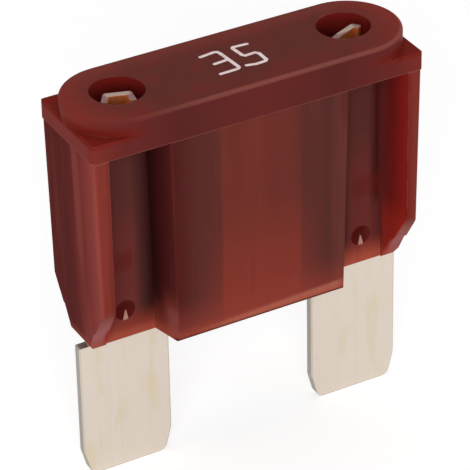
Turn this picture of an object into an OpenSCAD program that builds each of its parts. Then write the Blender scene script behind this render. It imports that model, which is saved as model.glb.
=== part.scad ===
// Large automotive blade fuse: a moulded housing and the stamped strip that it holds.
// Width runs along X, the front looks to -Y, height along Z, and the blade tips stand at Z = 0.

/* [Housing] */
// Width of the housing, end to end
body_w = 29.2; // [29:0.1:31]
// Thickness of the housing, front to back
body_t = 8.9; // [8.6:0.1:10]
// Height of the top face above the blade tips
total_h = 34.3; // [34:0.1:37]
// Height of the underside of the housing above the blade tips
under_z = 12.8; // [12.4:0.1:13.4]
// Rise of the oval top above the square shoulders
oval_rise = 1.45; // [1:0.05:2]
// Thickness of the shoulder flange
flange_h = 1.6; // [1.2:0.1:2.2]
// Thickness of the web between the end rails and the link chamber
web_t = 2.5; // [2.4:0.1:3]
// Width of an end rail at its front face
rail_w = 1.4; // [1:0.1:1.8]
// Length of the sloped lead-in at the foot of each rail
ramp_h = 5; // [4.4:0.1:6]
// Width of the link chamber block at its front face
block_w = 15.7; // [15:0.1:16]
// Wall of the link chamber
wall = 1.25; // [0.9:0.05:1.4]
// Draft of the moulded walls, in degrees
draft = 0.9; // [0.3:0.1:1.2]

/* [Probe holes] */
// Diameter of each probe hole
probe_d = 4.4; // [4.2:0.1:5]
// Distance of each probe hole from the end of the housing
probe_end = 4.6; // [4.4:0.1:4.8]
// Distance of each probe hole behind the middle plane
probe_y = 0.2; // [0:0.05:0.3]
// Depth of each probe hole
probe_depth = 2.4; // [2:0.1:2.6]

/* [Strip] */
// Width of each blade
blade_w = 8; // [7.8:0.1:8]
// Thickness of the strip
blade_t = 0.8; // [0.7:0.05:0.9]
// Height of the shoulder where each blade enters the housing
shoulder_gap = 0.4; // [0.2:0.1:0.6]
// Width of the leg that rises beside the chamber
leg_w = 2.7; // [2.4:0.1:2.8]
// Width of the fusible link
link_w = 1.5; // [1:0.1:1.8]
// Width of the link at its weak spot
weak_w = 0.8; // [0.5:0.1:0.9]
// Play between the strip and its slot, each side
play = 0.05; // [0.03:0.01:0.1]

/* [Hidden] */
$fn = 48;
half_w = body_w / 2;
half_t = body_t / 2;
over = 1;
edge = 0.12;
corner_r = 0.5;
shoulder_z = total_h - oval_rise;
flange_z = shoulder_z - flange_h;
end_step = 0.1;
end_x = half_w - end_step;
body_h = flange_z - under_z;
draft_in = body_h * tan(draft);
foot_x = end_x - draft_in;
rail_slant = 0.55;
rail_r = 0.5;
foot_bevel = [0.35, 0.5];
ramp_foot = web_t / 2 + 0.15;
ledge_h = 2.3;
ledge_in = 0.25;
ledge_drop = 0.1;
block_set = 0.1;
block_flare = 0.65;
block_r = 0.3;
block_bevel = [0.2, 0.02];
block_y = half_t - block_set;
chamber_x = block_w / 2 - wall;
chamber_y = block_y - draft_in - wall;
chamber_top = flange_z - 1;
chamber_r = 0.4;
probe_x = half_w - probe_end;
stake_x = half_w - 3.8;
stake_z = under_z + 2.55;
stake_d = 1.9;
stake_deep = 0.6;
nib_d = 1.2;
oval_r = 0.28;
slip = 0.01;
blade_out = half_w;
blade_in = blade_out - blade_w;
blade_top = under_z - shoulder_gap;
tip_h = 2.4;
tip_in = 0.65;
tip_r = 0.8;
coin = 0.1;
bend_r = 0.3;
shoulder_r = 0.15;
neck_r = 0.2;
flare_r = 1;
waist = 0.2;
neck_out = foot_x - 0.6;
leg_out = probe_x + 1.7;
leg_in = leg_out - leg_w;
flare_low = under_z + 0.054 * body_h;
flare_high = under_z + 0.336 * body_h;
link_z = under_z + 0.5257 * body_h;
link_r = 2.6;
link_t = 0.6 * blade_t;
pad_h = 2.2;
pad_lap = 0.5;
tab_gap = 0.3;
tab_top = total_h - tab_gap;
tab_t = 0.5;
// Bends of the right and left probe tabs from above, each from its inner end, measured from its hole
tab_paths = [
    [[-1.5, -1.05], [-0.8, -0.65], [0.95, 0.1], [1.3, -0.35]],
    [[-0.65, -1.5], [-0.85, -0.3], [0.85, 0.25], [1.45, -0.65]]];
tab_root = 0.5;
leg_top = total_h - probe_depth + tab_root;

// Unit vector along v
function unit(v) = v / norm(v);

// Angle of v in degrees
function angle(v) = atan2(v.y, v.x);

// Points of an arc of radius r that rounds the corner at q between p and s
function rounded(p, q, s, r, n = 6) =
    r == 0 ? [q] :
    let (u = unit(p - q), w = unit(s - q), half = acos(u * w) / 2)
    let (middle = q + unit(u + w) * r / sin(half), reach = r / tan(half))
    let (start = angle(q + u * reach - middle), swing = angle(q + w * reach - middle) - start)
    let (turn = swing > 180 ? swing - 360 : swing < -180 ? swing + 360 : swing)
    [for (i = [0 : n]) middle + r * [cos(start + turn * i / n), sin(start + turn * i / n)]];

// Closed outline through corners given as [x, y, radius]
function outline(corners) =
    let (k = len(corners))
    [for (i = [0 : k - 1])
        let (p = corners[(i + k - 1) % k], q = corners[i], s = corners[(i + 1) % k])
        each rounded([p.x, p.y], [q.x, q.y], [s.x, s.y], q.z)];

// Both halves of an outline that is the same left and right of X = 0
function both_sides(right) =
    concat(right, [for (i = [len(right) - 1 : -1 : 0]) [-right[i].x, right[i].y, right[i].z]]);

// Plate standing in the XZ plane, centred on Y = 0
module upright(points, t) {
    rotate([90, 0, 0])
        linear_extrude(height = t, center = true) polygon(points);
}

// Bar along X with the given YZ section
module along_x(points, w) {
    rotate([90, 0, 90])
        linear_extrude(height = w, center = true) polygon(points);
}

// Drafted solid between two like outlines, the lower one at z0 and the upper at z1
module drafted(low, high, z0, z1) {
    hull() {
        translate([0, 0, z0]) linear_extrude(height = slip) polygon(low);
        translate([0, 0, z1 - slip]) linear_extrude(height = slip) polygon(high);
    }
}

// Section of half the oval top, with its rounded upper edge
module oval_section(h) {
    square([half_t, h - oval_r]);
    square([half_t - oval_r, h]);
    translate([half_t - oval_r, h - oval_r]) circle(oval_r);
}

// Oval top with half-round ends, from the flange's underside to the top face
module oval_top() {
    h = total_h - flange_z - edge;
    reach = half_w - half_t;
    translate([0, 0, flange_z + edge]) {
        rotate([90, 0, 90])
            linear_extrude(height = 2 * reach, center = true)
                union() {
                    oval_section(h);
                    mirror([1, 0]) oval_section(h);
                }
        for (side = [-1, 1])
            translate([side * reach, 0, 0])
                rotate_extrude($fn = 96) oval_section(h);
    }
}

// Square-shouldered flange with softened edges
module flange() {
    section = function(half) both_sides([
        [half - edge, flange_z, 0], [half, flange_z + edge, 0],
        [half, shoulder_z - edge, 0], [half - edge, shoulder_z, 0]]);
    intersection() {
        upright(outline(section(half_w)), body_t + over);
        along_x(outline(section(half_t)), body_w + over);
        linear_extrude(height = total_h)
            polygon(outline(both_sides([[half_w, -half_t, corner_r], [half_w, half_t, corner_r]])));
    }
}

// Outline of one end rail, right side, with its outer face at x
function rail_plan(x) = outline([
    [half_w - rail_w, half_t, 0], [half_w - rail_w - rail_slant, web_t / 2, 0],
    [half_w - rail_w - rail_slant, -web_t / 2, 0], [half_w - rail_w, -half_t, 0],
    [x, -half_t, rail_r], [x, half_t, rail_r]]);

// Side view of a rail: straight above, sloped towards the web at the foot, with a small ledge
function rail_side() =
    let (ledge_y = ramp_foot + (half_t - ramp_foot) * ledge_h / ramp_h)
    both_sides([
        [ramp_foot, under_z, 0], [ledge_y - ledge_in, under_z + ledge_h - ledge_drop, 0],
        [ledge_y, under_z + ledge_h, 0], [half_t, under_z + ramp_h, 0],
        [half_t, flange_z + edge, 0]]);

// Front view of the web and rails: drafted ends and bevelled lower corners
function body_front() = both_sides([
    [foot_x - foot_bevel.x, under_z, 0], [foot_x, under_z + foot_bevel.y, 0],
    [end_x, flange_z + edge, 0]]);

// Thin web with an end rail on each side
module web_and_rails() {
    intersection() {
        upright(outline(body_front()), body_t + over);
        union() {
            translate([0, 0, (under_z + flange_z) / 2])
                cube([body_w, web_t, body_h + 2 * edge], center = true);
            intersection() {
                along_x(outline(rail_side()), body_w);
                for (side = [0, 1])
                    mirror([side, 0, 0])
                        drafted(rail_plan(foot_x), rail_plan(end_x), under_z, flange_z + edge);
            }
        }
    }
}

// Outline of the chamber block, drawn in by the given draft
function block_plan(d) =
    let (flank = block_w / 2 - d, root = flank + block_flare, front = block_y - d)
    outline(both_sides([
        [flank, -front, block_r], [root, -web_t / 2, 0],
        [root, web_t / 2, 0], [flank, front, block_r]]));

// Block that stands out front and back around the fusible link
module block() {
    intersection() {
        drafted(block_plan(draft_in), block_plan(0), under_z, flange_z + edge);
        along_x(outline(both_sides([
            [block_y - draft_in - block_bevel.x, under_z, 0],
            [block_y - draft_in + block_bevel.y, under_z + block_bevel.x, 0],
            [half_t, flange_z + edge, 0]])), body_w);
    }
}

// Chamber around the link, open below
module chamber() {
    translate([0, 0, under_z - over])
        linear_extrude(height = chamber_top - under_z + over)
            polygon(outline(both_sides([
                [chamber_x, -chamber_y, chamber_r], [chamber_x, chamber_y, chamber_r]])));
}

// Slot that takes the strip with even play all round, open below
module strip_slot() {
    upright(outline(both_sides([
        [neck_out + play, under_z - over, 0], [neck_out + play, flare_low, flare_r + play],
        [leg_out + play, flare_high, flare_r - play], [leg_out + play, leg_top, 0],
        [leg_in - play, leg_top, 0], [leg_in - play, link_z + pad_h + play, bend_r - play]])),
        blade_t + 2 * play);
}

// Conical stake mark and the nib that it drives through the strip
module stakes(cone) {
    for (side = [-1, 1])
        translate([side * stake_x, 0, stake_z])
            rotate([90, 0, 0])
                if (cone)
                    for (face = [0, 1])
                        mirror([0, 0, face])
                            translate([0, 0, web_t / 2 - stake_deep])
                                cylinder(h = stake_deep + slip, d1 = 0, d2 = stake_d);
                else
                    cylinder(h = web_t - 2 * stake_deep, d = nib_d, center = true);
}

// Moulded housing in one piece
module housing() {
    color("#7a2b26") {
        difference() {
            union() {
                oval_top();
                flange();
                web_and_rails();
                block();
            }
            chamber();
            strip_slot();
            for (side = [-1, 1])
                translate([side * probe_x, probe_y, total_h - probe_depth])
                    cylinder(h = probe_depth + over, d = probe_d);
            stakes(true);
        }
        stakes(false);
    }
}

// Outline of one blade and the leg above it, right side
function leg_outline() = outline([
    [blade_in + tip_in, 0, tip_r], [blade_out - tip_in, 0, tip_r], [blade_out, tip_h, bend_r],
    [blade_out, blade_top, shoulder_r], [neck_out, blade_top, neck_r], [neck_out, flare_low, flare_r],
    [leg_out, flare_high, flare_r], [leg_out, leg_top - play, 0], [leg_in, leg_top - play, 0],
    [leg_in, link_z + pad_h, bend_r], [blade_in + waist, link_z + pad_h, bend_r],
    [blade_in + waist, blade_top, neck_r], [blade_in, blade_top, 0], [blade_in, tip_h, bend_r]]);

// Cross-section of a blade from above, with coined edges
function blade_plan() =
    let (out = blade_out, in = blade_in, t = blade_t / 2)
    [[in, -t + coin], [in + coin, -t], [out - coin, -t], [out, -t + coin],
     [out, t - coin], [out - coin, t], [in + coin, t], [in, t - coin]];

// One blade with its leg
module leg() {
    intersection() {
        upright(leg_outline(), blade_t);
        union() {
            linear_extrude(height = blade_top) polygon(blade_plan());
            translate([blade_in, -blade_t / 2, blade_top])
                cube([blade_w, blade_t, total_h]);
        }
    }
}

// Probe tab: the end of the leg, bent into a shallow channel that opens to the front
module probe_tab(path) {
    foot = total_h - probe_depth + play;
    translate([probe_x, probe_y, foot])
        linear_extrude(height = tab_top - foot)
            for (i = [0 : 2])
                let (a = path[i], b = path[i + 1]) {
                    translate(a) rotate(angle(b - a))
                        translate([0, -tab_t / 2]) square([norm(b - a), tab_t]);
                    if (i > 0) translate(a) circle(tab_t / 2, $fn = 24);
                }
}

// Fusible link: an S of two half rings, necked at the middle
module link() {
    bend = link_r - link_w / 2;
    rotate([90, 0, 0])
        linear_extrude(height = link_t, center = true)
            translate([0, link_z])
                difference() {
                    for (side = [0, 1])
                        rotate(180 * side) {
                            intersection() {
                                translate([link_r, 0])
                                    difference() {
                                        circle(link_r + link_w / 2);
                                        circle(bend);
                                    }
                                translate([-link_w, -2 * link_r]) square([3 * link_r + link_w, 2 * link_r]);
                            }
                            translate([2 * link_r - link_w / 2, -slip]) square([link_w, pad_h / 2]);
                            translate([2 * link_r - link_w / 2, pad_h / 2 - slip])
                                square([blade_in + pad_lap - 2 * link_r + link_w / 2, pad_h / 2]);
                        }
                    for (side = [-1, 1])
                        translate([side * (weak_w + link_w) / 2, 0]) circle(link_w / 2);
                }
}

// Stamped strip: two blades, their legs and tabs, and the link between them
module fuse_strip() {
    color("#d9cfc0")
        difference() {
            union() {
                for (side = [0, 1])
                    mirror([side, 0, 0]) {
                        leg();
                        probe_tab(tab_paths[side]);
                    }
                link();
            }
            for (side = [-1, 1])
                translate([side * stake_x, 0, stake_z])
                    rotate([90, 0, 0]) cylinder(h = blade_t + over, d = nib_d + 2 * play, center = true);
        }
}

housing();
fuse_strip();
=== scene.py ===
"""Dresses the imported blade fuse: translucent housing, plated strip, printed number and a plain studio."""

import logging
import math
from dataclasses import dataclass, field
from enum import Enum
from typing import Any

import bmesh
import bpy
from mathutils import Matrix, Vector

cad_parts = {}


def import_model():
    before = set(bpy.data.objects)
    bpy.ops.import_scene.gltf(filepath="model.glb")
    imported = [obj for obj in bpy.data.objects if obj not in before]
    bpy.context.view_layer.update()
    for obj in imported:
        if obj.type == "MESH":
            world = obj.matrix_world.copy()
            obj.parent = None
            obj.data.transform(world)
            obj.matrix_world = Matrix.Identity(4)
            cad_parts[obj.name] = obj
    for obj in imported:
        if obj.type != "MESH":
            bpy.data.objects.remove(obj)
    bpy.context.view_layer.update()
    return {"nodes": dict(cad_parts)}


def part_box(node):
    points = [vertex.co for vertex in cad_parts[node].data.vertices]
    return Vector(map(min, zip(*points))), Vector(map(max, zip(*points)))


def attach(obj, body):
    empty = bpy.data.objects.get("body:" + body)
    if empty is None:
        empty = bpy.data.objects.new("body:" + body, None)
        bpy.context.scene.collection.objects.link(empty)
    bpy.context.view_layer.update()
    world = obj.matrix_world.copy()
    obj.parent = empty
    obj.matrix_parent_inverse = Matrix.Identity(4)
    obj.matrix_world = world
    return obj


LOG = logging.getLogger("blade_fuse")
MM = 0.001
BODY = "root"
EDGE_SAMPLES = 6
Limit = tuple[str, float, float]
Stroke = list[tuple[float, float]]


def linear(hex_colour: str) -> tuple[float, float, float, float]:
    """Turns an sRGB hex colour into linear RGBA.

    Args:
        hex_colour: Colour written as six hex digits after a hash sign.

    Returns:
        The four linear channels that Blender's sockets take.
    """
    channels = [int(hex_colour[i : i + 2], 16) / 255 for i in (1, 3, 5)]
    made = [c / 12.92 if c <= 0.04045 else ((c + 0.055) / 1.055) ** 2.4 for c in channels]
    return (made[0], made[1], made[2], 1.0)


def add(
    tree: bpy.types.NodeTree, kind: str, inputs: dict[Any, Any] | None = None, **settings: Any
) -> bpy.types.Node:
    """Adds one node with its settings, socket values and links.

    Args:
        tree: Node tree that gets the node.
        kind: Blender's name for the kind of node.
        inputs: Socket name or number, each with a value or with the socket that feeds it.
        **settings: Properties of the node itself.

    Returns:
        The new node.
    """
    node = tree.nodes.new(kind)
    for name, value in settings.items():
        setattr(node, name, value)
    for name, value in (inputs or {}).items():
        if isinstance(value, bpy.types.NodeSocket):
            tree.links.new(value, node.inputs[name])
        else:
            node.inputs[name].default_value = value
    return node


@dataclass
class Surface:
    """Material in the making, with the measures by which its zones of colour find their place."""

    name: str
    material: bpy.types.Material = field(init=False)
    tree: bpy.types.NodeTree = field(init=False)
    place: bpy.types.NodeSocket = field(init=False)
    folded: bpy.types.NodeSocket = field(init=False)
    measures: dict[str, bpy.types.NodeSocket] = field(init=False, default_factory=dict)

    def __post_init__(self) -> None:
        """Makes the empty material and measures the place, in millimetres, and the way that it faces."""
        self.material = bpy.data.materials.new(self.name)
        self.material.use_nodes = True
        self.tree = self.material.node_tree
        self.tree.nodes.clear()
        metres = add(self.tree, "ShaderNodeTexCoord").outputs["Object"]
        scaled = {0: metres, "Scale": 1 / MM}
        self.place = add(self.tree, "ShaderNodeVectorMath", scaled, operation="SCALE").outputs[0]
        # Folded about the middle, so that one zone colours both ends and both sides of the fuse
        folded = add(self.tree, "ShaderNodeVectorMath", {0: self.place}, operation="ABSOLUTE")
        self.folded = folded.outputs[0]
        self.split(self.place, "x", "y", "z")
        self.split(self.folded, "across", "depth")
        normal = add(self.tree, "ShaderNodeNewGeometry").outputs["True Normal"]
        self.split(normal, "normal_x", "normal_y", "normal_z")
        facing = add(self.tree, "ShaderNodeVectorMath", {0: normal}, operation="ABSOLUTE").outputs[0]
        self.split(facing, "facing_x", "facing_y", "facing_z")

    def split(self, vector: bpy.types.NodeSocket, *names: str) -> None:
        """Measures the parts of a vector.

        Args:
            vector: Socket with the vector.
            *names: Names that its parts get as measures, in the order X, Y, Z.
        """
        parts = add(self.tree, "ShaderNodeSeparateXYZ", {0: vector}).outputs
        self.measures.update(zip(names, parts))

    def measure_noise(self, name: str, grain: tuple[float, float, float], detail: float = 2.0) -> None:
        """Measures soft noise, from 0 to 1.

        Args:
            name: Name of the measure.
            grain: Size of one feature along X, Y and Z, in millimetres.
            detail: Number of finer layers.
        """
        per_mm = tuple(1 / length for length in grain)
        scaled = add(self.tree, "ShaderNodeVectorMath", {0: self.place, 1: per_mm}, operation="MULTIPLY")
        made = {"Vector": scaled.outputs[0], "Scale": 1.0, "Detail": detail}
        self.measures[name] = add(self.tree, "ShaderNodeTexNoise", made).outputs["Fac"]

    def measure_flatness(self, radius_mm: float) -> bpy.types.NodeSocket:
        """Measures how flat it is around a place: 1 on flats and less along edges.

        Args:
            radius_mm: Radius of the softened edges.

        Returns:
            The socket with the softened normal.
        """
        soft = add(self.tree, "ShaderNodeBevel", {"Radius": radius_mm * MM}, samples=EDGE_SAMPLES).outputs[0]
        sharp = add(self.tree, "ShaderNodeNewGeometry").outputs["Normal"]
        same = add(self.tree, "ShaderNodeVectorMath", {0: soft, 1: sharp}, operation="DOT_PRODUCT")
        self.measures["flatness"] = same.outputs["Value"]
        return soft

    def paint(self, base: str, zones: "list[Zone]") -> Any:
        """Lays zones of colour over a base colour.

        Args:
            base: Hex colour that is under all zones.
            zones: Zones in the order in which they are laid.

        Returns:
            The socket with the colour.
        """
        made = linear(base)
        for zone in zones:
            made = zone.lay(self, made)
        return made

    def shade(self, inputs: dict[str, Any]) -> bpy.types.Material:
        """Ends the material with one shader.

        Args:
            inputs: Value or source of each socket of the shader that isn't left as it is.

        Returns:
            The finished material.
        """
        shader = add(self.tree, "ShaderNodeBsdfPrincipled", inputs)
        add(self.tree, "ShaderNodeOutputMaterial", {"Surface": shader.outputs[0]})
        return self.material


@dataclass(frozen=True)
class Ramp:
    """Colours along a measure: place in millimetres and hex colour of each stop, in rising order."""

    measure: str
    stops: tuple[tuple[float, str], ...]

    def read(self, surface: Surface) -> bpy.types.NodeSocket:
        """Reads the colour at each place.

        Args:
            surface: Surface that the ramp runs over.

        Returns:
            The socket with the colour.
        """
        start, end = self.stops[0][0], self.stops[-1][0]
        ends = {"Value": surface.measures[self.measure], "From Min": start, "From Max": end}
        share = add(surface.tree, "ShaderNodeMapRange", ends).outputs["Result"]
        node = add(surface.tree, "ShaderNodeValToRGB", {"Fac": share})
        elements = node.color_ramp.elements
        while len(elements) < len(self.stops):
            elements.new(1.0)
        for element, (place, colour) in zip(elements, self.stops):
            element.position = (place - start) / (end - start)
            element.color = linear(colour)
        return node.outputs["Color"]


@dataclass(frozen=True)
class Zone:
    """Soft-edged part of a surface that has its own colour.

    Each limit names a measure, the value at which the zone starts and the value from which it is full.
    Where the start is the larger one, the zone lies below it.
    """

    limits: tuple[Limit, ...]
    colour: str | Ramp
    share: float = 1.0

    def lay(self, surface: Surface, under: Any) -> bpy.types.NodeSocket:
        """Lays the zone over what is there.

        Args:
            surface: Surface that gets the zone.
            under: Colour so far.

        Returns:
            The socket with the colour.
        """
        share = self.share
        for measure, start, full in self.limits:
            ends = {"Value": surface.measures[measure], "From Min": start, "From Max": full}
            inside = add(surface.tree, "ShaderNodeMapRange", ends, interpolation_type="SMOOTHSTEP")
            both = {0: inside.outputs["Result"], 1: share}
            share = add(surface.tree, "ShaderNodeMath", both, operation="MULTIPLY").outputs[0]
        over = self.colour.read(surface) if isinstance(self.colour, Ramp) else linear(self.colour)
        mixed = add(surface.tree, "ShaderNodeMix", {0: share, 6: under, 7: over}, data_type="RGBA")
        return mixed.outputs[2]


@dataclass(frozen=True)
class MouldedPolyamide:
    """Dyed polyamide, injection moulded.

    It is semi-translucent, so that the wall looks deeper in colour over a hollow and paler where it is solid.
    """

    colour: str = "#672825"
    ior: float = 1.53
    roughness: float = 0.36
    # Low, because white surroundings would otherwise pale the deep red where light grazes it
    gloss: float = 0.006
    scatter_mm: float = 0.8
    scatter_share: float = 0.3
    scatter_tint: tuple[float, float, float] = (1.0, 0.25, 0.18)
    edge_mm: float = 0.13
    # Grain of the mould, clouds and mottling of the dye, breaks in the painted edge highlight and the wear of
    # handling, and lines of the flow
    skin_mm: float = 0.35
    skin_strength: float = 0.15
    skin_relief_mm: float = 0.02
    cloud_mm: float = 3.0
    mottle_mm: float = 1.3
    edge_rub_and_glint_mm: float = 0.9
    streak_mm: tuple[float, float, float] = (0.8, 0.8, 14.0)
    band_mm: tuple[float, float, float] = (2.4, 2.4, 24.0)
    # Places on the housing by which the zones go
    block_x: float = 8.2
    rail_x: float = 13.2
    stake_x: float = 10.8
    stake_z: float = 15.35
    stake_r: float = 0.95
    # Shape of the painted highlight in each stake mark
    stake_glint_slope: float = 0.32
    stake_glint_lean: float = 0.55
    web_y: float = 1.25
    lip_slope: float = 0.035
    probe_x: float = 10.0
    probe_r: float = 2.2
    oval_reach: float = 10.15
    below_flange: Limit = ("z", 31.35, 31.15)

    def make(self) -> bpy.types.Material:
        """Builds the housing's material.

        Returns:
            The finished material.
        """
        surface = Surface("moulded_polyamide")
        soft = self.measure(surface)
        skin = add(surface.tree, "ShaderNodeBump", {
            "Strength": self.skin_strength,
            "Distance": self.skin_relief_mm * MM,
            "Height": surface.measures["skin"],
            "Normal": soft})
        zones = self.top() + self.block() + self.web() + self.rails() + self.wear_and_painted_edge_shading()
        return surface.shade({
            "Base Color": surface.paint(self.colour, zones),
            "Roughness": self.roughness,
            "IOR": self.ior,
            "Specular IOR Level": self.gloss,
            "Subsurface Weight": self.scatter_share,
            "Subsurface Radius": self.scatter_tint,
            "Subsurface Scale": self.scatter_mm * MM,
            "Normal": skin.outputs[0]})

    def measure(self, surface: Surface) -> bpy.types.NodeSocket:
        """Measures what the zones go by.

        Args:
            surface: Surface that gets the measures.

        Returns:
            The socket with the softened normal.
        """
        for name, grain, detail in (
                ("cloud", (self.cloud_mm,) * 3, 2.0), ("mottle", (self.mottle_mm,) * 3, 4.0),
                ("skin", (self.skin_mm,) * 3, 3.0), ("edge_rub_and_glint", (self.edge_rub_and_glint_mm,) * 3, 3.0),
                ("streaks", self.streak_mm, 3.0), ("bands", self.band_mm, 1.5)):
            surface.measure_noise(name, grain, detail)
        origin, anywhere = (0.0, 0.0, 0.0), (-99.0, -99.0, -99.0)
        for name, centre, least, axes in (
                ("from_spine", (self.oval_reach, 0.0, 0.0), origin, (1.0, 1.0, 0.0)),
                ("from_probe", (self.probe_x, 0.0, 0.0), anywhere, (1.0, 1.0, 0.0)),
                ("from_stake", (self.stake_x, 0.0, self.stake_z), anywhere, (1.0, 0.0, 1.0))):
            vector = surface.folded
            for operation, value in (("SUBTRACT", centre), ("MAXIMUM", least), ("MULTIPLY", axes)):
                both = {0: vector, 1: value}
                vector = add(surface.tree, "ShaderNodeVectorMath", both, operation=operation).outputs[0]
            length = add(surface.tree, "ShaderNodeVectorMath", {0: vector}, operation="LENGTH")
            surface.measures[name] = length.outputs["Value"]
        # The band of light over the block's lower edge rises to the right
        surface.measures["lip"] = add(surface.tree, "ShaderNodeMath", {
            0: surface.measures["x"], 1: -self.lip_slope, 2: surface.measures["z"]},
            operation="MULTIPLY_ADD").outputs[0]
        # The painted highlight in each stake mark is a narrow triangle with its point up, and leans a little
        # where the cone is deep: its half width and a share of its height add up to this measure
        value = surface.measures["depth"]
        for operation, number, further in (
                ("MULTIPLY_ADD", self.stake_glint_lean, surface.measures["x"]),
                ("SUBTRACT", self.stake_glint_lean * self.web_y, 0.0), ("ABSOLUTE", 0.0, 0.0),
                ("SUBTRACT", self.stake_x, 0.0), ("ABSOLUTE", 0.0, 0.0)):
            several = {0: value, 1: number, 2: further}
            value = add(surface.tree, "ShaderNodeMath", several, operation=operation).outputs[0]
        surface.measures["stake_glint"] = add(surface.tree, "ShaderNodeMath", {
            0: surface.measures["z"], 1: self.stake_glint_slope, 2: value}, operation="MULTIPLY_ADD").outputs[0]
        return surface.measure_flatness(self.edge_mm)

    def top(self) -> list[Zone]:
        """Colours the flange and the oval top."""
        face = ("z", 34.2, 34.28)
        lower_edge = (("z", 31.2, 31.26), ("z", 31.42, 31.34))
        return [
            # Soft clouds in the dye lie under all other zones
            Zone((("cloud", 0.2, 0.8),), "#74302a"),
            # The flange is darkest over the corners of the link chamber and reddest over the solid rails
            Zone((("z", 31.15, 31.35),), Ramp("across", (
                (0.0, "#692c28"), (7.0, "#5b2827"), (12.0, "#6d2c29"), (14.6, "#86352e"))), 0.85),
            Zone((face,), Ramp("across", ((8.0, "#6a302a"), (14.6, "#84332b"))), 0.9),
            Zone((face, ("from_spine", 3.9, 1.2)), "#62322d", 0.6),
            Zone((face, ("mottle", 0.52, 0.72)), "#7c2a25", 0.45),
            Zone((face, ("mottle", 0.46, 0.28)), "#53302a", 0.4),
            # The walls of the probe holes get painted shade, darker with depth
            Zone((("from_probe", self.probe_r + 0.5, self.probe_r + 0.4), ("z", 34.27, 34.2)), Ramp("z", (
                (31.9, "#4a1413"), (34.3, "#761e18")))),
            # Red gathers at the foot of the oval's ends
            Zone((("z", 33.8, 33.1), ("z", 32.5, 32.7), ("across", 9.0, 12.0)), "#761f17", 0.88),
            # Light catches the rim of the oval, the far side of the top and the lower edge of the flange
            Zone((("z", 33.95, 34.14), ("from_spine", 4.1, 4.3), ("x", -14.0, -2.0), ("y", 0.5, -1.5)),
                 "#a5675d", 0.36),
            Zone((face, ("y", 2.2, 3.8)), "#803c34", 0.5),
            Zone(lower_edge + (("depth", 4.2, 4.4),), "#a5675d", 0.35),
            Zone(lower_edge + (("across", 14.4, 14.55),), "#b98a84", 0.5)]

    def block(self) -> list[Zone]:
        """Colours the chamber block: its front in upright bands, its flanks with painted shade, one corner
        with a painted highlight.
        """
        front = (("across", self.block_x + 0.05, self.block_x - 0.25), ("depth", 3.2, 3.9), self.below_flange)
        flank = (("depth", 1.27, 1.4), ("facing_x", 0.3, 0.6), ("across", 7.4, 7.7), ("across", 8.9, 8.7),
                 self.below_flange)
        corner = (("x", 6.9, 7.3), ("across", 8.7, 8.5), ("depth", 1.9, 2.4), ("normal_y", -0.1, -0.3),
                  self.below_flange)
        return [
            # Over the empty sides of the chamber the wall looks dull. Its corners are solid, and their colour
            # is painted light and shade: deep red painted shade on one side and a pale painted highlight on
            # the other
            Zone(front, Ramp("x", (
                (-self.block_x, "#51191a"), (-5.6, "#5e2f2b"), (0.0, "#66312c"), (6.2, "#5c302d"),
                (7.2, "#6b3731")))),
            # The bright link lies behind the middle and makes it redder
            Zone(front + (("across", 3.7, 3.4), ("x", 10.0, -1.0)), "#76352c", 0.85),
            # All of the front is warmer lower down, and the middle most
            Zone(front + (("z", 25.0, 15.0), ("across", 6.3, 3.4)), "#9c3f31", 0.3),
            Zone(front + (("z", 25.0, 15.0), ("across", 3.7, 3.35)), "#9c3f31", 0.28),
            Zone(front + (("z", 17.0, 13.2),), "#954136", 0.6),
            # Light catches a low band, widest on the right
            Zone(front + (("lip", 13.8, 13.4), ("x", -6.5, -2.0), ("across", 7.8, 6.8)), "#c9846c", 0.5),
            # The flanks get painted shade, darkest deep in the bays, and are warm low down, with a pinkish
            # patch on one corner
            Zone(flank, Ramp("depth", ((1.25, "#2c1313"), (2.4, "#441817"), (4.3, "#5c2523")))),
            Zone(flank + (("z", 18.0, 15.5), ("depth", 1.9, 3.1)), "#8a3d33", 0.55),
            Zone(flank + (("z", 16.6, 13.8),), "#84392f", 0.75),
            Zone(flank + (("z", 16.2, 15.0), ("y", -2.4, -3.4), ("x", 0.0, -1.0)), "#93504b", 0.6),
            # The painted highlight on the corner is even all the way down and turns to painted shade under
            # the flange
            Zone(corner + (("z", 14.4, 16.4),), "#6b3731", 0.9),
            Zone(corner + (("z", 27.0, 30.0),), "#5f2a26", 0.8)]

    def web(self) -> list[Zone]:
        """Colours the recessed web, behind which the flared leg of the strip shows as a paler band."""
        near_web = ("depth", self.web_y + 0.11, self.web_y + 0.02)
        web = (near_web, ("across", self.block_x - 0.2, self.block_x), self.below_flange)
        cone = (("from_stake", self.stake_r, self.stake_r - 0.12), near_web)
        point = self.stake_glint_slope * self.stake_z
        return [
            # Painted shade in the corner beside the block, paler over the leg, painted shade in the gap
            # before the rail, red at the rail
            Zone(web, Ramp("across", (
                (8.3, "#331312"), (8.9, "#4a2724"), (10.0, "#643430"), (11.5, "#643430"), (12.3, "#491817"),
                (self.rail_x, "#743530")))),
            # Reds gather over the leg and beside it, and the lower rim is paler
            Zone(web + (("z", 25.5, 21.5), ("across", 9.0, 10.4), ("across", 11.9, 11.3)), "#763533", 0.8),
            Zone(web + (("z", 19.4, 17.4), ("across", 11.2, 11.6), ("across", 12.9, 12.2)), "#70322f", 0.8),
            Zone(web + (("z", 18.6, 19.6), ("z", 21.4, 20.2), ("across", 9.8, 10.2)), "#6c1f18", 0.5),
            Zone(web + (("z", 15.5, 13.6),), "#8f3d2e", 0.8),
            Zone(web + (("z", 14.8, 13.3), ("x", -9.0, 9.0)), "#b05442", 0.5),
            Zone(web + (("z", 13.8, 13.0),), "#b86452", 0.4),
            # Each stake mark is a dark red cone, its darkness painted shade in the pit, with a painted
            # highlight on the lower wall at its foot
            Zone(cone, "#5c1a16"),
            Zone(cone + (("stake_glint", point, point - 0.08), ("z", self.stake_z - 0.2, self.stake_z - 0.35)),
                 "#c8948a")]

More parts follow.
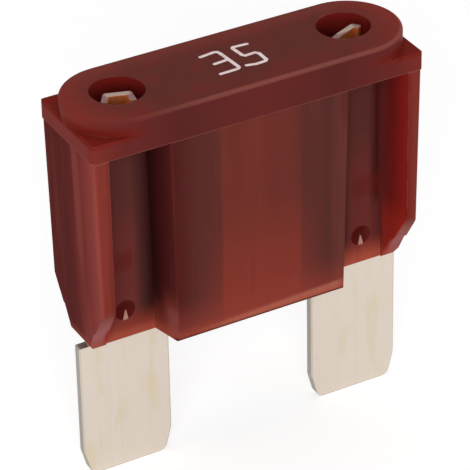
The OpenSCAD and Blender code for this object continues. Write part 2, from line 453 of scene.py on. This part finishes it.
    def rails(self) -> list[Zone]:
        """Colours the end rails: solid, so light gathers in them, purest red on their inner sides."""
        inner = (("across", 13.3, 13.15), ("across", 12.4, 12.6), ("depth", 1.3, 1.6), ("depth", 4.4, 4.2),
                 self.below_flange)
        end = (("facing_x", 0.5, 0.8), ("across", 13.9, 14.1), self.below_flange)
        return [
            Zone((("across", 12.5, self.rail_x), ("depth", 1.3, 1.5), self.below_flange), Ramp("x", (
                (-13.6, "#86382f"), (-13.1, "#742c27"), (13.1, "#7a2019"), (13.8, "#84372e")))),
            # Deep in the bay the inner side is dull, and near the front light shines through it
            Zone(inner, Ramp("depth", ((1.3, "#712b28"), (2.4, "#731e1d"), (4.2, "#99241d")))),
            Zone(inner + (("z", 19.5, 16.5),), "#b03024", 0.5),
            # The end is paler near its front edge, and deep red further back
            Zone(end, Ramp("y", (
                (-4.4, "#97463d"), (-2.8, "#8b3430"), (-1.4, "#70211d"), (0.9, "#5d1612")))),
            Zone(end + (("bands", 0.5, 0.68),), "#b45c50", 0.3),
            Zone(end + (("bands", 0.48, 0.32),), "#4c1a22", 0.26),
            Zone(end + (("streaks", 0.5, 0.72),), "#b45c50", 0.1),
            # The sloped feet face down and get a painted pale sheen
            Zone((("normal_z", -0.15, -0.3), ("facing_y", 0.3, 0.5), ("across", 12.9, 13.3),
                  ("z", 17.9, 16.5)),
                 Ramp("z", ((12.8, "#a05a57"), (15.0, "#a76866"), (17.8, "#8a4038"))), 0.85)]

    def wear_and_painted_edge_shading(self) -> list[Zone]:
        """Colours the paler lower rim, the flow lines, the edges paled partly by painted highlight and partly
        by wear, and the block's lower edge, darkened as painted shade.
        """
        return [
            Zone((("z", 14.2, 12.9),), "#b0503e", 0.6),
            Zone((("streaks", 0.5, 0.75), self.below_flange), "#4a1c1a", 0.14),
            Zone((("streaks", 0.45, 0.25), self.below_flange), "#8a4238", 0.14),
            # The outer edges are paled here and there, partly painted highlight and partly wear from handling
            Zone((("flatness", 0.995, 0.9), ("edge_rub_and_glint", 0.38, 0.62), ("depth", 1.6, 2.0)), "#a05f56", 0.45),
            # The lower edge of the block turns away from the light
            Zone((("z", 13.2, 13.02), ("depth", 3.2, 3.9)), "#3c1210", 0.75)]


@dataclass(frozen=True)
class TinPlatedZinc:
    """Rolled zinc strip with a dull tin plating: warm white, soft reflections and faint yellow staining."""

    plating: str = "#dacec1"
    sheared: str = "#8d8780"
    roughness: float = 0.42
    metallic: float = 0.85
    edge_mm: float = 0.12
    stain_mm: tuple[float, float, float] = (1.5, 2.4, 4.5)
    # Rolling lines are drawn wider than the real 0.02 mm, so that they show
    roll_mm: tuple[float, float, float] = (0.25, 0.25, 18.0)
    roll_strength: float = 0.25
    roll_relief_mm: float = 0.01
    # Stains change the roughness by this much at the least and at the most
    dulling: tuple[float, float] = (-0.06, 0.08)
    tab_z: tuple[float, float] = (32.4, 33.96)
    probe_x: float = 10.0

    def make(self) -> bpy.types.Material:
        """Builds the strip's material.

        Returns:
            The finished material.
        """
        surface = Surface("tin_plated_zinc")
        surface.measure_noise("lines", self.roll_mm, 3.0)
        surface.measure_noise("stains", self.stain_mm, 5.0)
        arm = surface.measures["across"]
        for operation, number in (("SUBTRACT", self.probe_x), ("ABSOLUTE", 0.0)):
            arm = add(surface.tree, "ShaderNodeMath", {0: arm, 1: number}, operation=operation).outputs[0]
        surface.measures["arm"] = arm
        soft = surface.measure_flatness(self.edge_mm)
        rolled = add(surface.tree, "ShaderNodeBump", {
            "Strength": self.roll_strength,
            "Distance": self.roll_relief_mm * MM,
            "Height": surface.measures["lines"],
            "Normal": soft})
        dull = add(surface.tree, "ShaderNodeMapRange", {
            "Value": surface.measures["stains"],
            "To Min": self.roughness + self.dulling[0],
            "To Max": self.roughness + self.dulling[1]})
        return surface.shade({
            "Base Color": surface.paint(self.plating, self.zones()),
            "Metallic": self.metallic,
            "Roughness": dull.outputs["Result"],
            "Normal": rolled.outputs[0]})

    def zones(self) -> list[Zone]:
        """Colours the stains, the rolling lines, the bare cut edges, and the painted shade on the tabs in the
        probe holes with painted red-brown light on their fronts and arms.
        """
        low, high = self.tab_z
        tab = ("z", low - 0.3, low)
        arm = (tab, ("facing_z", 0.5, 0.8))
        blade = ("z", 13.0, 12.8)
        return [
            Zone((("stains", 0.5, 0.76),), "#d0bd90", 0.4),
            Zone((("lines", 0.5, 0.75),), "#b9a58d", 0.08),
            Zone((("facing_y", 0.8, 0.5), blade), self.sheared, 0.8),
            Zone((("flatness", 0.995, 0.9), blade), self.sheared, 0.6),
            # Inside the probe holes the tabs get painted shade, and painted red-brown light from the plastic
            # around them on their fronts and on the arms at both ends
            Zone((tab,), "#a38d7f"),
            Zone((tab, ("z", high + 0.02, high - 0.04), ("facing_z", 0.8, 0.5)), "#ff9c58"),
            Zone(arm + (("arm", 0.85, 1.0),), "#7b5552", 0.9),
            Zone(arm + (("y", -0.2, -0.45),), "#7b5552", 0.9)]


@dataclass(frozen=True)
class PadInk:
    """Pad-printed ink: an opaque matt film, warm white, a little thin in places."""

    full: str = "#f0dcda"
    thin: str = "#d9b5b1"
    roughness: float = 0.6
    patch_mm: float = 0.4

    def make(self) -> bpy.types.Material:
        """Builds the ink's material.

        Returns:
            The finished material.
        """
        surface = Surface("pad_ink")
        surface.measure_noise("patches", (self.patch_mm,) * 3)
        colour = surface.paint(self.full, [Zone((("patches", 0.5, 0.8),), self.thin)])
        return surface.shade({"Base Color": colour, "Roughness": self.roughness})


@dataclass
class CarriedNode:
    """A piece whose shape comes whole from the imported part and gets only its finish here."""

    node: str
    material: bpy.types.Material

    def dress(self, nodes: dict[str, bpy.types.Object]) -> None:
        """Gives the node its material.

        Args:
            nodes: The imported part's nodes by name.
        """
        mesh_slots = nodes[self.node].material_slots
        for mesh_slot in mesh_slots:
            mesh_slot.link = "OBJECT"
            mesh_slot.material = self.material
        LOG.info("%s: %d material slot(s) dressed", self.node, len(mesh_slots))


@dataclass
class RatingNumber:
    """The printed rating on the top face, drawn with a round-ended pen of one width."""

    top_mm: float
    material: bpy.types.Material
    pen_mm: float = 0.31
    film_mm: float = 0.012
    cap_points: int = 8
    three: Stroke = field(default_factory=lambda: [
        (-2.1, 1.45), (-0.8, 1.61), (-0.58, 1.5), (-0.5, 1.25), (-0.3, -1.25), (-0.34, -1.5), (-0.54, -1.63),
        (-2.02, -1.67)])
    # Ends at the side of the upright, because two films at one height would flicker where they overlap
    middle_arm: Stroke = field(default_factory=lambda: [(-1.67, -0.07), (-0.56, 0.037)])
    five: Stroke = field(default_factory=lambda: [
        (2.02, 1.47), (0.84, 1.55), (0.72, 1.4), (0.84, 0.12), (1.0, -0.1), (1.9, -0.06), (2.1, -0.3),
        (2.11, -1.45), (1.92, -1.64), (1.1, -1.69), (0.35, -1.5)])

    def build(self) -> bpy.types.Object:
        """Makes the ink film and sets it on the top face.

        Returns:
            The new mesh object.
        """
        film = bmesh.new()
        for stroke, joined in ((self.three, False), (self.middle_arm, True), (self.five, False)):
            self.lay(film, [Vector(p) for p in stroke], joined)
        mesh = bpy.data.meshes.new("rating_number")
        film.to_mesh(mesh)
        film.free()
        number = bpy.data.objects.new("rating_number", mesh)
        bpy.context.scene.collection.objects.link(number)
        mesh.materials.append(self.material)
        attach(number, BODY)
        LOG.info("rating_number: %d faces", len(mesh.polygons))
        return number

    def side(self, points: list[Vector], sign: int) -> list[Vector]:
        """Follows a pull of the pen along one side of it, mitred at each bend.

        Args:
            points: Middle line of the pull.
            sign: 1 for its left side, -1 for its right side.

        Returns:
            One point for each point of the middle line.
        """
        edge = []
        for i, point in enumerate(points):
            into = (point - points[i - 1]).normalized() if i else None
            out = (points[i + 1] - point).normalized() if i < len(points) - 1 else None
            into, out = into or out, out or into
            across = (into.orthogonal() + out.orthogonal()).normalized()
            edge.append(point + across * (sign * self.pen_mm / 2 / across.dot(into.orthogonal())))
        return edge

    def cap(self, centre: Vector, first: Vector) -> list[Vector]:
        """Rounds the end of a pull of the pen, counter-clockwise from a point, without its end points.

        Args:
            centre: End of the middle line.
            first: Point on the rim of the pen where the round starts.

        Returns:
            The points of the round.
        """
        swings = [math.pi * i / self.cap_points for i in range(1, self.cap_points)]
        return [centre + Matrix.Rotation(swing, 2) @ (first - centre) for swing in swings]

    def lay(self, film: bmesh.types.BMesh, points: list[Vector], joined: bool) -> None:
        """Lays one pull of the pen as a thin film.

        Args:
            film: Mesh that gets the film.
            points: Middle line of the pull, in millimetres.
            joined: Whether its far end butts against another pull, and so is square.
        """
        left, right = self.side(points, 1), self.side(points, -1)
        far_end = [] if joined else self.cap(points[-1], right[-1])
        rim = right + far_end + left[::-1] + self.cap(points[0], left[0])
        low = [film.verts.new((p.x * MM, p.y * MM, self.top_mm * MM)) for p in rim]
        high = [film.verts.new((p.x * MM, p.y * MM, (self.top_mm + self.film_mm) * MM)) for p in rim]
        film.faces.new(high)
        film.faces.new(low[::-1])
        for i, _ in enumerate(rim):
            j = (i + 1) % len(rim)
            film.faces.new((low[i], low[j], high[j], high[i]))


class LampRole(Enum):
    """What each soft lamp is for."""

    KEY = "key"
    FILL = "fill"
    TOP = "top"


@dataclass(frozen=True)
class SoftLamp:
    """A square soft lamp that looks at the middle of the fuse."""

    role: LampRole
    place_mm: tuple[float, float, float]
    side_mm: float
    watts: float

    def build(self, aim: Vector) -> None:
        """Makes the lamp.

        Args:
            aim: Point that the lamp looks at, in metres.
        """
        data = bpy.data.lights.new(f"{self.role.value}_lamp", "AREA")
        data.size = self.side_mm * MM
        data.energy = self.watts
        lamp = bpy.data.objects.new(data.name, data)
        lamp.location = Vector(self.place_mm) * MM
        lamp.rotation_mode = "QUATERNION"
        lamp.rotation_quaternion = (aim - lamp.location).to_track_quat("-Z", "Y")
        bpy.context.scene.collection.objects.link(lamp)


@dataclass
class Studio:
    """Pale floor, soft lamps, white surroundings and the camera."""

    azimuth: float = 28.567
    elevation: float = 32.246
    roll: float = -1.168
    distance_mm: float = 251.83
    lens_mm: float = 240.98
    aim_mm: tuple[float, float, float] = (0.1, 0.48, 17.89)
    clip_mm: float = 10.0
    floor_mm: float = 4000.0
    ambient: float = 0.43
    paper: str = "#d8d8d8"
    paper_lift: float = 0.54
    lamps: tuple[SoftLamp, ...] = (
        SoftLamp(LampRole.KEY, (-150.0, -260.0, 150.0), 180.0, 0.52),
        SoftLamp(LampRole.FILL, (240.0, -200.0, 60.0), 200.0, 0.12),
        SoftLamp(LampRole.TOP, (0.0, 60.0, 300.0), 220.0, 0.14))

    def build(self) -> None:
        """Makes everything around the fuse."""
        self.colour_management()
        self.world()
        self.floor()
        self.camera()
        for lamp in self.lamps:
            lamp.build(Vector(self.aim_mm) * MM)

    def colour_management(self) -> None:
        """Shows colours as they are written."""
        bpy.context.scene.view_settings.view_transform = "Standard"

    def seen_directly(self, tree: bpy.types.NodeTree) -> Any:
        """Is 1 for what the camera, a gloss or a clear material sees, and 0 for light that falls on things.

        Args:
            tree: Node tree that gets the nodes.

        Returns:
            The socket with the result.
        """
        path = add(tree, "ShaderNodeLightPath")
        seen = path.outputs["Is Camera Ray"]
        for name in ("Is Glossy Ray", "Is Transmission Ray"):
            both = {0: seen, 1: path.outputs[name]}
            seen = add(tree, "ShaderNodeMath", both, operation="MAXIMUM").outputs[0]
        return seen

    def world(self) -> None:
        """Makes the surroundings: white to look at, plain grey light on the object."""
        world = bpy.data.worlds.new("studio")
        bpy.context.scene.world = world
        world.use_nodes = True
        tree = world.node_tree
        tree.nodes.clear()
        white = add(tree, "ShaderNodeBackground", {"Color": linear("#ffffff"), "Strength": 1.0})
        soft = add(tree, "ShaderNodeBackground", {"Color": linear("#ffffff"), "Strength": self.ambient})
        shown = add(tree, "ShaderNodeMixShader", {
            0: self.seen_directly(tree), 1: soft.outputs[0], 2: white.outputs[0]})
        add(tree, "ShaderNodeOutputWorld", {"Surface": shown.outputs[0]})

    def floor(self) -> None:
        """Makes the floor, white to look at where no shadow falls."""
        half = self.floor_mm * MM / 2
        sheet = bmesh.new()
        corners = ((-half, -half, 0), (half, -half, 0), (half, half, 0), (-half, half, 0))
        sheet.faces.new([sheet.verts.new(corner) for corner in corners])
        mesh = bpy.data.meshes.new("floor")
        sheet.to_mesh(mesh)
        sheet.free()
        floor = bpy.data.objects.new("floor", mesh)
        bpy.context.scene.collection.objects.link(floor)
        material = bpy.data.materials.new("pale_paper")
        material.use_nodes = True
        tree = material.node_tree
        tree.nodes.clear()
        paper = add(tree, "ShaderNodeBsdfDiffuse", {"Color": linear(self.paper)})
        white = add(tree, "ShaderNodeEmission", {"Color": linear("#ffffff"), "Strength": self.paper_lift})
        lit = add(tree, "ShaderNodeAddShader", {0: paper.outputs[0], 1: white.outputs[0]})
        shown = add(tree, "ShaderNodeMixShader", {
            0: self.seen_directly(tree), 1: paper.outputs[0], 2: lit.outputs[0]})
        add(tree, "ShaderNodeOutputMaterial", {"Surface": shown.outputs[0]})
        mesh.materials.append(material)

    def camera(self) -> None:
        """Makes the camera at the photograph's viewing angle."""
        azimuth, elevation, roll = (math.radians(a) for a in (self.azimuth, self.elevation, self.roll))
        ahead = math.cos(elevation)
        forward = Vector((math.sin(azimuth) * ahead, math.cos(azimuth) * ahead, -math.sin(elevation)))
        level = Vector((math.cos(azimuth), -math.sin(azimuth), 0))
        upright = level.cross(forward)
        right = level * math.cos(roll) + upright * math.sin(roll)
        up = upright * math.cos(roll) - level * math.sin(roll)
        data = bpy.data.cameras.new("camera")
        data.lens = self.lens_mm
        data.clip_start = self.clip_mm * MM
        camera = bpy.data.objects.new("camera", data)
        turned = Matrix((right, up, -forward)).transposed().to_4x4()
        place = (Vector(self.aim_mm) - forward * self.distance_mm) * MM
        camera.matrix_world = Matrix.Translation(place) @ turned
        bpy.context.scene.collection.objects.link(camera)
        bpy.context.scene.camera = camera


def main() -> None:
    """Dresses the fuse piece by piece and sets up the studio."""
    logging.basicConfig(level=logging.INFO)
    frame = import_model()
    CarriedNode("housing", MouldedPolyamide().make()).dress(frame["nodes"])
    CarriedNode("fuse_strip", TinPlatedZinc().make()).dress(frame["nodes"])
    top_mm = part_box("housing")[1][2] / MM
    RatingNumber(top_mm, PadInk().make()).build()
    Studio().build()


if __name__ == "__main__":
    main()
